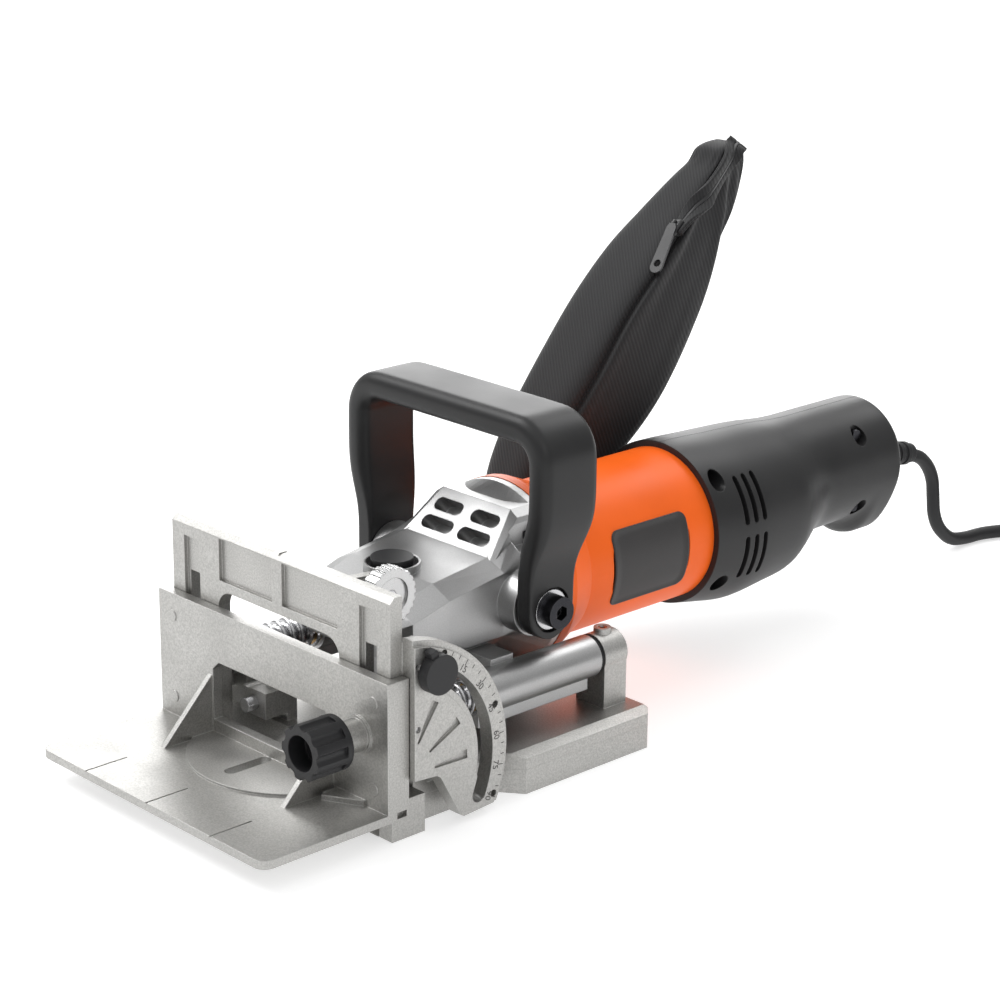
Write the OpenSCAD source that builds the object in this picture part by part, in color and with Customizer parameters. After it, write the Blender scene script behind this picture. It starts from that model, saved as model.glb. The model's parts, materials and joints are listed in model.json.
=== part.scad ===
// Biscuit joiner: a plunging blade unit on a flat base, with a tilting front fence.
// Frame: +Z up, -Y towards the work, origin at the middle of the base's sole.
// All lengths are in millimetres.

/* [Base] */
// Length of the base along Y
base_len = 139; // [136:1:142]
// Half width of the wide rear part of the base
base_half_w = 69.5; // [68:0.5:72]
// Half width of the narrow front part of the base
base_front_half_w = 60; // [59:0.5:60]
// Height of the joint between cover plate and base casting
cover_h = 10.3; // [10:0.1:11]
// Height of the top of the base casting
base_h = 16.6; // [16:0.1:17]

/* [Slides] */
// Distance of each guide rod from the centre plane
rod_x = 49; // [48:0.5:50]
// Height of the guide rods
rod_z = 38; // [37:0.5:39]
// Radius of the guide rods
rod_r = 5; // [4:0.5:5]
// Plunge travel of the motor unit
plunge = 26; // [20:1:26]

/* [Blade and drive] */
// Blade diameter
blade_d = 100; // [96:1:100]
// Thickness of the blade at its teeth
blade_t = 4; // [3:0.5:4]
// Distance of the spindle behind the middle of the base, negative is forward
spindle_y = -11; // [-12:0.5:-10]
// Height of the motor axis
motor_z = 62.2; // [61:0.1:63]
// Teeth on the crown wheel
wheel_teeth = 24; // [24]
// Teeth on the motor pinion
pinion_teeth = 8; // [8]

/* [Fence] */
// Half width of the right-angle fence
fence_half_w = 70; // [70:0.5:72]
// Depth of the flat shelf in front of the fence face
shelf_depth = 59.2; // [50:1:62]
// Height of the shelf's upper face in its lowest position
shelf_top_z = 12.9; // [12.9:0.1:13]
// Height of the top of the right-angle fence in its lowest position
fence_top_z = 65.2; // [64:0.1:66]
// Height of the tilting plate
plate_top_z = 96.3; // [94:0.1:98]
// Half width of the tilting plate
plate_half_w = 66; // [66]
// Outer radius of the angle quadrant
quadrant_r = 53.5; // [52:0.5:54]

/* [Motor unit] */
// Radius of the motor housing
housing_r = 33.6; // [33:0.1:34]
// Radius of the rear barrel of the handle
barrel_r = 27.6; // [27:0.1:28]
// Height of the barrel's axis
barrel_z = 66.5; // [65:0.5:68]

/* [Front handle] */
// Half width of the bail handle outside
bail_half_w = 60; // [58:0.5:62]
// Width of the bail's strap along Y
bail_strap = 31; // [28:1:32]
// Height of the top of the bail
bail_top_z = 144; // [140:1:146]

/* [Hidden] */
$fn = 64;
gap = 0.3;              // clearance between bodies that pass each other
eps = 0.01;
base_front = -base_len / 2;
base_rear = base_len / 2;
fence_face = base_front - 3.5;         // front face of the right-angle fence
plate_front = fence_face + 4.7;        // front face of the tilting plate
plate_back = plate_front + 5.8;
pivot_y = fence_face + 5;              // tilting axis lies just behind the fence face
pivot_z = 26.9;
shelf_low_z = shelf_top_z - 3.4;
rail_x = plate_half_w + 0.2;           // inner face of the fence's side rails
stud_x = 53.5;                         // clamp stud of the right-angle fence
stud_z = 41;
slot_r = 41.7;                         // radius of the quadrant's slot
lock_y = pivot_y + 14.7;               // angle lock stud
lock_z = pivot_z + 39.4;
ear_in = 50;                           // hinge ears of the base, inner and outer faces
ear_out = 60;
ear_r = 3.4;
hinge_r = 1.6;
wheel_y = -50.3;                       // height wheel axis
wheel_z = 87.5;
rack_pitch_r = 6;
rack_teeth = 12;
tooth_step = 2 * PI * rack_pitch_r / rack_teeth;
blade_low_z = 4;
cutter_r = blade_d / 2;
seam_y = 143;                          // joint between motor housing and handle
case_rear = 50;                        // joint between gear case and motor housing
tail_y = 278.6;                        // rear face of the handle
bail_y = 28.4;                         // bail bolts
strap_y = 31.2;                        // middle of the bail's strap
bail_z = motor_z + 2.1;
sleeve_r = 8.7;
sleeve_front = -12;
sleeve_rear = 51.5;
post_front = 53.7;
post_rear = 66.2;
crown_r = 15;                          // pitch radius of the crown wheel
pin_r = 5;                             // pitch radius of the pinion
pin_x = 26;                            // grip pins
grip_z = 25.5;
turret_x = -30;
turret_z = 33.5;
cord_r = 3.25;
cord_exit_z = 64.6;
trigger_y = 237.5;
trigger_z = 45.5;

ALU = [0.78, 0.78, 0.79];
DARK = [0.13, 0.13, 0.14];
STEEL = [0.62, 0.63, 0.65];
ORANGE = [0.95, 0.38, 0.10];

// A cylinder along Y from y0 to y1 at (x, z).
module y_cyl(x, z, r, y0, y1) {
    translate([x, y0, z]) rotate([-90, 0, 0]) cylinder(r = r, h = y1 - y0);
}

// A cylinder along X from x0 to x1 at (y, z).
module x_cyl(y, z, r, x0, x1) {
    translate([x0, y, z]) rotate([0, 90, 0]) cylinder(r = r, h = x1 - x0);
}

// A box given by its lowest and highest corners.
module box(low, high) {
    translate(low) cube(high - low);
}

// The same children on both sides of the centre plane.
module both_sides() {
    children();
    mirror([1, 0, 0]) children();
}

// A shape drawn as (y, z) points, extruded along X from x0 to x1.
module yz_plate(points, x0, x1) {
    translate([x0, 0, 0]) rotate([90, 0, 90]) linear_extrude(x1 - x0) polygon(points);
}

// A shape drawn as (x, z) points, extruded along Y from y0 to y1.
module xz_plate(points, y0, y1) {
    translate([0, y1, 0]) rotate([90, 0, 0]) linear_extrude(y1 - y0) polygon(points);
}

// A rounded slot along Y, between two circle centres.
module y_slot(x, y0, y1, r, z0, z1) {
    for (y = [y0, y1]) translate([x, y, z0]) cylinder(r = r, h = z1 - z0);
    box([x - r, y0, z0], [x + r, y1, z1]);
}

function arc(cx, cy, r, a0, a1, n) = [for (i = [0 : n]) let (a = a0 + (a1 - a0) * i / n)
    [cx + r * cos(a), cy + r * sin(a)]];

// ---------------------------------------------------------------- base

module base_outline() {
    wide_y = -1.5;
    narrow_y = -9;
    corner = 3;
    polygon([[-base_front_half_w, base_front], [base_front_half_w, base_front],
        [base_front_half_w, narrow_y], [base_half_w, wide_y], [base_half_w, base_rear - corner],
        [base_half_w - corner, base_rear], [corner - base_half_w, base_rear],
        [-base_half_w, base_rear - corner], [-base_half_w, wide_y], [-base_front_half_w, narrow_y]]);
}

// Space that the lowered fence sweeps as it tilts.
module tilt_clearance() {
    sweep_r = 18.7;
    slope = 17;
    difference() {
        x_cyl(pivot_y, pivot_z, sweep_r, -fence_half_w - 1, fence_half_w + 1);
        box([-80, pivot_y - 30, 17], [80, pivot_y + 30, 60]);
    }
    yz_plate([[base_front - 30, -30], [base_front + 0.2 - 30, -30], [base_front + 0.2 + slope, slope],
        [base_front - 30, slope]], -80, 80);
}

screw_spots = [[55.5, -46], [64.2, 6], [64.8, 60]];

module base_cover() {
    pocket_r = cutter_r + 2;
    floor_t = 2;
    color(ALU) difference() {
        linear_extrude(cover_h) base_outline();
        tilt_clearance();
        y_slot(0, spindle_y - plunge - 30, spindle_y, pocket_r, floor_t, cover_h + 1);
        box([-60, 0, floor_t + 1], [-36, base_rear + 1, cover_h + 1]);
        both_sides() for (spot = screw_spots) translate([spot[0], spot[1], -1]) {
            cylinder(r = 2.2, h = cover_h + 2);
            cylinder(r = 4, h = 1 + 2.6);
        }
    }
}

module base_casting() {
    edge = 5.2;
    low_edge_z = base_h - 1.7;
    rod_pocket_r = rod_r + 0.02;
    color(ALU) difference() {
        union() {
            intersection() {
                translate([0, 0, cover_h]) linear_extrude(base_h) base_outline();
                union() {
                    for (part = [[base_half_w, -9, base_rear], [base_front_half_w, base_front, -9]])
                        xz_plate([[-part[0], 0], [part[0], 0], [part[0], low_edge_z],
                            [part[0] - edge, base_h], [edge - part[0], base_h],
                            [-part[0], low_edge_z]], part[1], part[2]);
                }
            }
            both_sides() {
                // front towers that hold the rods and carry the hinge ears
                box([41, -52, cover_h + 1], [ear_out, -45, 47]);
                box([41, -58, 33], [ear_out, -52 + eps, 47]);
                box([ear_in, pivot_y, pivot_z - ear_r], [ear_out, -45, pivot_z + ear_r]);
                x_cyl(pivot_y, pivot_z, ear_r, ear_in, ear_out);
                // bracket behind the grip pins
                box([pin_x - 7, -49, cover_h + 1], [pin_x + 7, -44, 46]);
                box([pin_x - 7, -60, grip_z - 5.5], [pin_x + 7, -49 + eps, grip_z + 5.5]);
                // rear posts
                box([rod_x - 8, post_front, base_h - 1], [rod_x + 8, post_rear, rod_z + 1]);
                y_cyl(rod_x, rod_z, 8.6, post_front, post_rear);
                translate([rod_x, (post_front + post_rear) / 2, rod_z]) cylinder(r = 3.6, h = 10.4);
            }
            // upper tower that holds the angle lock stud
            box([55, -58, 46], [65.6, -48, 74]);
        }
        tilt_clearance();
        // spindle slot and the room for the blade flange
        y_slot(0, spindle_y - plunge, spindle_y, 8.5, cover_h - 1, base_h + 1);
        y_slot(0, spindle_y - plunge, spindle_y, 17, cover_h - 1, 13.4);
        // dust channel roof
        box([-60, 0, cover_h - 1], [-36, base_rear + 1, 13.5]);
        both_sides() {
            y_cyl(rod_x, rod_z, rod_pocket_r, -55, 80);
            x_cyl(pivot_y, pivot_z, hinge_r + 0.05, ear_in - 1, ear_out + 1);
            translate([rod_x, (post_front + post_rear) / 2, rod_z]) cylinder(r = 2.01, h = 20);
            y_cyl(pin_x, grip_z, 3.05, -61, -48);
            for (spot = screw_spots) translate([spot[0], spot[1], cover_h - 1])
                cylinder(r = 2.01, h = 5);
        }
        x_cyl(lock_y, lock_z, 3.01, 57, 66);
        y_cyl(turret_x, turret_z, 3.01, -60, -43);
    }
}

module cover_screws() {
    color(STEEL) both_sides() for (spot = screw_spots) translate([spot[0], spot[1], 0.3]) {
        cylinder(r = 2, h = cover_h + 3);
        difference() {
            cylinder(r = 3.8, h = 2.2);
            translate([0, 0, -1]) cylinder(r = 1.4, h = 2, $fn = 6);
        }
    }
}

module guide_rods() {
    color(STEEL) both_sides() y_cyl(rod_x, rod_z, rod_r, -54.8, post_rear);
}

module rod_set_screws() {
    color(STEEL) both_sides() difference() {
        translate([rod_x, (post_front + post_rear) / 2, rod_z + rod_r + 0.2]) cylinder(r = 2, h = 5);
        translate([rod_x, (post_front + post_rear) / 2, rod_z + rod_r + 3.2])
            cylinder(r = 1.2, h = 5, $fn = 6);
    }
}

module rod_bumpers() {
    color(DARK) both_sides() difference() {
        y_cyl(rod_x, rod_z, 8, sleeve_rear + 0.9, post_front);
        y_cyl(rod_x, rod_z, rod_r + 0.05, 40, 60);
    }
}

module angle_lock_stud() {
    color(STEEL) x_cyl(lock_y, lock_z, 3, 57.5, 75.2);
}

// Dust outlet behind the base's left rear corner: a flat foot that turns up into a round spout.
duct_lean = 33;                        // lean of the spout from upright
duct_x = -53.4;
bag_x = -46;
spout_y = 84;
spout_z = 22;
module along_spout(h) {
    translate([duct_x, spout_y, spout_z]) rotate([-duct_lean, 0, 0]) translate([0, 0, h]) children();
}

module dust_elbow() {
    wall = 2;
    spout_r = 15;
    spout_len = 44;
    color(DARK) difference() {
        union() {
            hull() {
                box([-62, base_rear, 1], [-34, base_rear + 3, 15.5]);
                along_spout(0) cylinder(r = spout_r + 0.8, h = 3, $fn = 32);
            }
            along_spout(2) cylinder(r = spout_r, h = spout_len);
        }
        hull() {
            box([-60, base_rear - 1, 3], [-36, base_rear + 3, 13.5]);
            along_spout(1) cylinder(r = spout_r - wall - 0.8, h = 1.3, $fn = 32);
        }
        along_spout(2) cylinder(r = spout_r - wall, h = spout_len + 5);
    }
}

module bag_collar() {
    color(DARK) difference() {
        along_spout(32) cylinder(r = 18.5, h = 14);
        along_spout(20) cylinder(r = 15, h = 40);
    }
}

// Sections of the filled bag from the collar to the tip: y, z and half depth.
bag_half_t = 23;
bag_tip_half_t = 12;
bag_sections = [[105, 54.5, 17.5], [111, 63, 18.5], [121, 78, 22], [136, 98, 25], [153, 120, 26],
    [168, 140, 25], [185, 161, 22], [201, 180, 19], [215, 195, 15.5], [226, 206, 10], [231, 211, 4]];
function bag_normal(i) = let (last = len(bag_sections) - 1, a = bag_sections[max(i - 1, 0)],
    b = bag_sections[min(i + 1, last)], d = [b[0] - a[0], b[1] - a[1]]) [-d[1], d[0]] / norm(d);
function bag_edge(side) = [for (i = [0 : len(bag_sections) - 1])
    [bag_sections[i][0], bag_sections[i][1]] + side * bag_sections[i][2] * bag_normal(i)];
bag_profile = concat(bag_edge(1), [for (i = [len(bag_sections) - 1 : -1 : 0]) bag_edge(-1)[i]]);

module dust_bag() {
    rim = 7;
    motor_room = 41;
    color([0.09, 0.09, 0.1]) difference() {
        intersection() {
            translate([bag_x, 0, 0]) rotate([90, 0, 90]) {
                translate([0, 0, -bag_half_t + rim]) linear_extrude(2 * (bag_half_t - rim))
                    polygon(bag_profile);
                translate([0, 0, -bag_half_t]) linear_extrude(2 * bag_half_t)
                    offset(delta = -rim) polygon(bag_profile);
            }
            translate([bag_x, 0, 0]) xz_plate([[-27, 30], [27, 30], [bag_half_t, 150],
                [bag_tip_half_t, 216], [-bag_tip_half_t, 216], [-bag_half_t, 150]], 50, 260);
        }
        y_cyl(0, motor_z - 1.5, motor_room, 40, 300);
        along_spout(0) cylinder(r = 18.51, h = 46);
    }
}

module grip_pin(side) {
    color(STEEL) y_cyl(side * pin_x, grip_z, 3, -65, -52);
}
module grip_pin_left() {
    grip_pin(-1);
}
module grip_pin_right() {
    grip_pin(1);
}

// ---------------------------------------------------------------- tilting fence

module tilt_plate() {
    arch_half_w = 37;
    arch_top = 72.3;
    arch_r = 8;
    bevel = 2.2;
    color(ALU) difference() {
        union() {
            box([-plate_half_w, plate_front, 13], [plate_half_w, plate_back, plate_top_z]);
            both_sides() {
                // flange behind each edge, and a foot level with the sole
                box([58, plate_back - eps, 33], [rail_x, plate_back + 3.5, 78]);
                box([60.8, plate_front, 9], [plate_half_w, plate_back + 1, 20]);
                box([60.8, base_front, 0.3], [68.2, base_front + 16.3, 9.2]);
                box([60.8, plate_back + 0.3, 9], [68.2, base_front + 16.3, 16]);
                // cheek that holds the hinge pin
                box([60.3, plate_front, 14], [plate_half_w, plate_back + 3, 36]);
            }
            // ear for the height wheel's axle
            yz_plate([[plate_back - eps, 78], [-50, 82], [-46, 85], [-46, 91], [-50, 94],
                [plate_back - eps, 95]], 33, 36.8);
        }
        box([-arch_half_w, plate_front - 1, 0], [arch_half_w, plate_back + 1, arch_top - arch_r]);
        box([-arch_half_w + arch_r, plate_front - 1, 0], [arch_half_w - arch_r, plate_back + 1, arch_top]);
        both_sides() y_cyl(arch_half_w - arch_r, arch_top - arch_r, arch_r, plate_front - 1,
            plate_back + 1);
        both_sides() {
            // open slots for the hinge ears
            box([ear_in - 0.5, plate_front - 1, 0], [ear_out + 0.3, plate_back + 1, pivot_z + 5.4]);
            // guide slot of the clamp stud, in a shallow recess
            box([stud_x - 3.2, plate_front - 1, stud_z - 3.5], [stud_x + 3.2, plate_back + 1, 75]);
            box([48.5, plate_front - 1, 34], [58.5, plate_front + 1.6, 89.5]);
            // wide recessed panel
            box([3, plate_front - 1, 76.2], [36, plate_front + 1.6, 93.6]);
            x_cyl(pivot_y, pivot_z, hinge_r + 0.01, 59, 65.2);
        }
        // bevelled front edge of the top, with a centre mark
        yz_plate([[plate_front - 1, plate_top_z - bevel - 1], [plate_front + bevel + 1, plate_top_z + 1],
            [plate_front - 1, plate_top_z + 1]], -80, 80);
        box([-0.6, plate_front - 1, plate_top_z - 0.8], [0.6, plate_back + 1, plate_top_z + 1]);
        x_cyl(wheel_y, wheel_z, 2.51, 30, 40);
    }
}

module angle_quadrant() {
    bevel = 2.4;
    body_pts = concat([[5.6, -2.2], [16.6, -3.1], [18.6, -4.5], [28.8, -22.9], [30.4, -23.8]],
        arc(0, 0, quadrant_r, -25.5, 84, 40));
    rim_pts = concat([[5.6, -2.2], [16.6, -3.1], [18.6, -4.5], [28.8, -22.9], [30.4, -23.8]],
        arc(0, 0, quadrant_r - bevel, -26.5, 83.7, 40));
    wedges = [[60, 14.5, 31.5], [31, 15, 32], [3, 15.5, 32]];
    color(ALU) difference() {
        translate([0, pivot_y, pivot_z]) {
            yz_plate(body_pts, rail_x, 73 - 1.4);
            yz_plate(rim_pts, 73 - 1.4 - eps, 73);
        }
        // curved slot, centred on the tilting axis
        translate([rail_x - 1, pivot_y, pivot_z]) rotate([90, 0, 90]) linear_extrude(12)
            polygon(concat(arc(0, 0, slot_r + 3.4, -24, 69.5, 40), arc(0, 0, slot_r - 3.4, 69.5, -24, 40)));
        for (a = [-24, 69.5]) x_cyl(pivot_y + slot_r * cos(a), pivot_z + slot_r * sin(a), 3.4,
            rail_x - 1, 80);
        // shallow shoulder inside the slot
        translate([73 - 1, pivot_y, pivot_z]) rotate([90, 0, 90]) linear_extrude(5)
            polygon(concat(arc(0, 0, slot_r, -22, 67, 40), arc(0, 0, slot_r - 6, 67, -5, 40)));
        // detent holes at 0, 45 and 90 degrees
        for (a = [66.1, 21.1, -22.5]) x_cyl(pivot_y + 49.4 * cos(a), pivot_z + 49.4 * sin(a), 1.5,
            rail_x - 1, 80);
        // three wedge-shaped recesses that point at the axis
        for (w = wedges) translate([73 - 1.2, pivot_y, pivot_z]) rotate([90, 0, 90]) rotate(w[0])
            linear_extrude(5) polygon([[w[1], -0.5], [w[2], -1.9], [w[2], 1.9], [w[1], 0.5]]);
        for (z = [45, 70]) x_cyl(plate_back + 1.8, z, 1.26, rail_x - 1, 80);
    }
}

module quadrant_screws() {
    color(STEEL) for (z = [45, 70]) x_cyl(plate_back + 1.8, z, 1.25, rail_x, 72);
}

module hinge_pins() {
    color(STEEL) both_sides() x_cyl(pivot_y, pivot_z, hinge_r, ear_in, 65);
}

// Knurled wheel with its pinion, turning on the axle.
module height_wheel() {
    color(ALU) translate([41, wheel_y, wheel_z]) rotate([90, 0, 90]) difference() {
        union() {
            cylinder(r = 10.9, h = 6);
            for (i = [0 : 23]) rotate(i * 15) translate([10.4, -0.8, 0]) cube([1.1, 1.6, 6]);
            translate([0, 0, -3.4]) cylinder(r = 5, h = 4);
            for (i = [0 : rack_teeth - 1]) rotate(180 + i * 360 / rack_teeth) translate([0, 0, -3.4])
                linear_extrude(3) polygon([[4.6, -0.75], [7, -0.35], [7, 0.35], [4.6, 0.75]]);
        }
        translate([0, 0, -5]) cylinder(r = 2.53, h = 20);
        translate([0, 0, 5]) cylinder(r = 7.5, h = 2);
    }
}

module wheel_axle() {
    color(STEEL) {
        x_cyl(wheel_y, wheel_z, 2.5, 32.5, 46);
        x_cyl(wheel_y, wheel_z, 4, 31.5, 33);
    }
}

// ---------------------------------------------------------------- right-angle fence

module right_angle_fence() {
    window = [[-35.4, 19], [34, 19], [34, 44], [-31.5, 44], [-35.4, 40.5]];
    ledge_r = 43;
    ledge_y = -60;
    corner = 5;
    shelf_front = fence_face - shelf_depth;
    color(ALU) difference() {
        union() {
            box([-fence_half_w, fence_face, shelf_low_z], [fence_half_w, plate_front - 0.2, fence_top_z]);
            // side rails that wrap the tilting plate
            both_sides() box([rail_x, fence_face, shelf_top_z], [fence_half_w, plate_back - 0.2, fence_top_z]);
            // shelf
            translate([0, 0, shelf_low_z]) linear_extrude(3.4) polygon(concat(
                [[fence_half_w, fence_face + 1], [-fence_half_w, fence_face + 1]],
                arc(corner - fence_half_w, shelf_front + corner, corner, 180, 270, 6),
                arc(fence_half_w - corner, shelf_front + corner, corner, 270, 360, 6)));
            // round raised ledge on the shelf
            intersection() {
                translate([0, ledge_y, shelf_top_z - 1]) cylinder(r = ledge_r, h = 2);
                box([-80, fence_face - 60, 0], [80, fence_face + 1, 40]);
            }
            // gussets either side of the window
            both_sides() yz_plate([[fence_face + 1, shelf_top_z - 1], [fence_face - 24, shelf_top_z - 1],
                [fence_face - 24, shelf_top_z], [fence_face - 0.2, 37.5], [fence_face + 1, 37.5]],
                36.2, 38.7);
            // small wedge beside the right gusset
            translate([0, 0, shelf_top_z - 1]) linear_extrude(3.2)
                polygon([[40, fence_face + 1], [57, fence_face + 1], [57, fence_face - 1], [42, fence_face - 9]]);
            // boss of the clamp stud
            y_cyl(stud_x, stud_z, 6.4, fence_face - 11, fence_face + 1);
            y_cyl(stud_x, stud_z, 7.6, fence_face - 1, fence_face + 1);
            // moulding marks
            for (z = [21, 55.5]) for (side = [-1, 1]) y_cyl(side * 61.5, z, 2.6, fence_face - 0.3, fence_face + 1);
        }
        xz_plate(window, fence_face - 1, plate_front + 1);
        // view slot on the centre plane
        y_slot(0, fence_face - 19, fence_face - 2.8, 2.7, 0, 40);
        both_sides() box([ear_in - 0.7, plate_front - 3.6, 0], [65.4, plate_front + 1, 31.6]);
        y_cyl(stud_x, stud_z, 3.05, fence_face - 20, 0);
        // three marks across the shelf's front edge
        for (x = [-39.2, 0, 39.2]) box([x - 0.35, shelf_front - 1, shelf_top_z - 0.5],
            [x + 0.35, shelf_front + 19.5, shelf_top_z + 1]);
    }
}

module height_rack() {
    teeth_n = 13;
    first_gap_z = wheel_z;
    strip_front = plate_back + 0.5;
    color(STEEL) difference() {
        union() {
            box([37.5, strip_front, 36], [57.6, -59.4, 47]);
            box([37.5, strip_front, 36], [40.3, -57.7, 93.5]);
            for (i = [0 : teeth_n - 1]) translate([0, 0, first_gap_z + 1.5 * tooth_step - i * tooth_step])
                yz_plate([[-58, -0.75], [-55.5, -0.35], [-55.5, 0.35], [-58, 0.75]], 37.5, 40.3);
        }
        y_cyl(stud_x, stud_z, 2.55, -70, -50);
    }
}

module star_knob() {
    knob_r = 10.8;
    flutes = 9;
    front = fence_face - 28;
    back = fence_face - 11.4;
    color(DARK) difference() {
        y_cyl(stud_x, stud_z, knob_r, front, back);
        for (i = [0 : flutes - 1]) translate([stud_x, 0, stud_z]) rotate([0, i * 360 / flutes, 0])
            y_cyl(knob_r + 1.2, 0, 2.6, front - 1, back - 2.5);
        y_cyl(stud_x, stud_z, 7, front - 1, front + 8);
        y_cyl(stud_x, stud_z, 3.01, front + 9.5, back + 1);
    }
}

module knob_stud() {
    color(STEEL) {
        y_cyl(stud_x, stud_z, 3, fence_face - 18.4, fence_face + 4.6);
        y_cyl(stud_x, stud_z, 2.5, fence_face + 4, -58.8);
    }
}

module angle_lock_knob() {
    color(DARK) difference() {
        union() {
            x_cyl(lock_y, lock_z, 7.8, 73.4, 78);
            translate([73.4, lock_y, lock_z]) rotate([0, 90, 0]) rotate(200) translate([7, -1.6, 0])
                cube([3.4, 3.2, 4]);
        }
        x_cyl(lock_y, lock_z, 3.05, 70, 76.2);
    }
}

// ---------------------------------------------------------------- depth stop

// Turret with six steps; the lowest step faces the rod at rest.
module depth_turret() {
    color(ALU) translate([turret_x, -43.7, turret_z]) rotate([-90, 0, 0]) difference() {
        union() {
            cylinder(r = 10.5, h = 3);
            for (i = [1, 2, 4, 5]) rotate([0, 0, -90 + i * 60]) linear_extrude(i % 3 == 1 ? 8 : 12)
                polygon(concat([[4.6, 0]], arc(0, 0, 10, -26, 26, 6)));
            cylinder(r = 4.4, h = 4.5);
        }
        translate([0, 0, -1]) cylinder(r = 3.05, h = 20);
    }
}

module turret_axle() {
    color(STEEL) {
        y_cyl(turret_x, turret_z, 3, -48.8, -38.8);
        y_cyl(turret_x, turret_z, 4, -39, -37.5);
    }
}

module depth_stop_rod() {
    color(STEEL) y_cyl(turret_x, turret_z + 7.5, 2, -13.5, 6);
}

// ---------------------------------------------------------------- gear case and drive

// One cross-section of the gear case, as a thin slab: half width, bottom, edge and top heights.
module case_slab(y, half_w, z_low, z_edge, z_top, flat) {
    xz_plate([[-half_w, z_low + 4], [4 - half_w, z_low], [half_w - 4, z_low], [half_w, z_low + 4],
        [half_w, z_edge], [half_w - 2, z_edge + 1.2], [flat, z_top], [-flat, z_top],
        [2 - half_w, z_edge + 1.2], [-half_w, z_edge]], y, y + 0.2);
}

module gear_case() {
    tube_r = 17;
    color(ALU) difference() {
        union() {
            hull() {
                case_slab(-33, 28, 50, 64.4, 69, 20);
                case_slab(-28, 33, 47.5, 66.8, 71.5, 23);
                case_slab(-10, 34, 46.5, 72.2, 77, 24);
                case_slab(20, 34, 46.5, 77, 81, 24);
            }
            hull() {
                case_slab(19, 34, 46.5, 76.9, 80.8, 24);
                y_cyl(0, motor_z, 39.2, 46.5, case_rear);
            }
            // raised vent hood
            hull() {
                xz_plate([[-28, 70], [28, 70], [28, 78.4], [26, 79.8], [-26, 79.8], [-28, 78.4]], 18.4, 18.6);
                xz_plate([[-26, 78], [26, 78], [24, 94], [20, 96.6], [-20, 96.6], [-24, 94]], 35.4, 46.5);
            }
            // boss of the spindle lock button
            translate([0, -10, 70]) cylinder(r = 11.5, h = 10.2);
            // bail bosses
            both_sides() x_cyl(bail_y, bail_z, 13, 30, 43.6);
            // spindle tube
            translate([0, spindle_y, 18.6]) cylinder(r = tube_r, h = 30);
            both_sides() {
                y_cyl(rod_x, rod_z, sleeve_r, sleeve_front, sleeve_rear);
                box([28, 0, 36], [rod_x - 2, 12, 49]);
                box([rod_x - 4, sleeve_front, 25.5], [rod_x + 4, 48, rod_z]);
            }
            // web that carries the depth stop rod
            box([turret_x - 4, -4, 37.5], [turret_x + 4, 10, 50]);
        }
        // gear chamber, from wall to wall
        hull() {
            case_slab(-30, 26, 50.5, 58, 66, 12);
            case_slab(12, 27, 50.5, 66, 74, 12);
        }
        // spindle bore with its two bearing seats
        translate([0, spindle_y, 18]) cylinder(r = 9, h = 40);
        translate([0, spindle_y, 18]) cylinder(r = 13.01, h = 9.6);
        translate([0, spindle_y, 36]) cylinder(r = 13.01, h = 15);
        // pinion bore, motor bearing seat and fan chamber
        y_cyl(0, motor_z, 9, 10, 42);
        y_cyl(0, motor_z, 13.01, 22, 36);
        y_cyl(0, motor_z, 31, 41, case_rear + 1);
        // lock button bore
        translate([0, -10, 71.4]) cylinder(r = 10.6, h = 20);
        translate([0, -19.2, 64]) cylinder(r = 1.9, h = 20);
        // two rows of vents in the hood's sloping front, and a recess on each side of the hood
        for (row = [[23.6, 85.5, 6], [29.6, 92, 5]]) for (side = [-1, 1])
            translate([side * 10.8, row[0], row[1]]) rotate([47, 0, 0]) {
                translate([-row[2], -3, -9]) cube([2 * row[2], 6, 18]);
                for (end = [-row[2], row[2]]) translate([end, 0, -9]) cylinder(r = 3, h = 18);
            }
        both_sides() box([24.6, 30, 82.6], [45, 43.5, 104]);
        both_sides() {
            y_cyl(rod_x, rod_z, 7.01, -20, 60);
            x_cyl(bail_y, bail_z, 4.01, 24, 46);
            for (z = [motor_z - 24, motor_z + 24]) y_cyl(24, z, 1.71, 38, 60);
        }
        y_cyl(turret_x, turret_z + 7.5, 2.01, -20, 6);
    }
}

module sleeve_bushes() {
    color([0.72, 0.52, 0.25]) both_sides() for (y = [[sleeve_front, sleeve_front + 22],
        [sleeve_rear - 22, sleeve_rear]]) difference() {
        y_cyl(rod_x, rod_z, 7, y[0], y[1]);
        y_cyl(rod_x, rod_z, rod_r + 0.06, -30, 70);
    }
}

module spindle_bearings() {
    color(STEEL) for (z = [19, 36.2]) translate([0, spindle_y, z]) difference() {
        cylinder(r = 13, h = 8);
        translate([0, 0, -1]) cylinder(r = 5.05, h = 10);
        for (h = [-1, 7]) translate([0, 0, h]) difference() {
            cylinder(r = 10.6, h = 2);
            translate([0, 0, -1]) cylinder(r = 7.4, h = 4);
        }
    }
}

module spindle() {
    color(STEEL) translate([0, spindle_y, 0]) difference() {
        union() {
            translate([0, 0, 8]) cylinder(r = 15, h = 3);
            translate([0, 0, 10]) cylinder(r = 6.5, h = 8.4);
            translate([0, 0, 18]) cylinder(r = 5, h = 28);
            translate([0, 0, 45]) cylinder(r = 3.5, h = 8);
            translate([0, 0, blade_low_z]) cylinder(r = 8, h = 5);
        }
        translate([0, 0, 0]) cylinder(r = 2.51, h = 16);
    }
}

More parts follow.
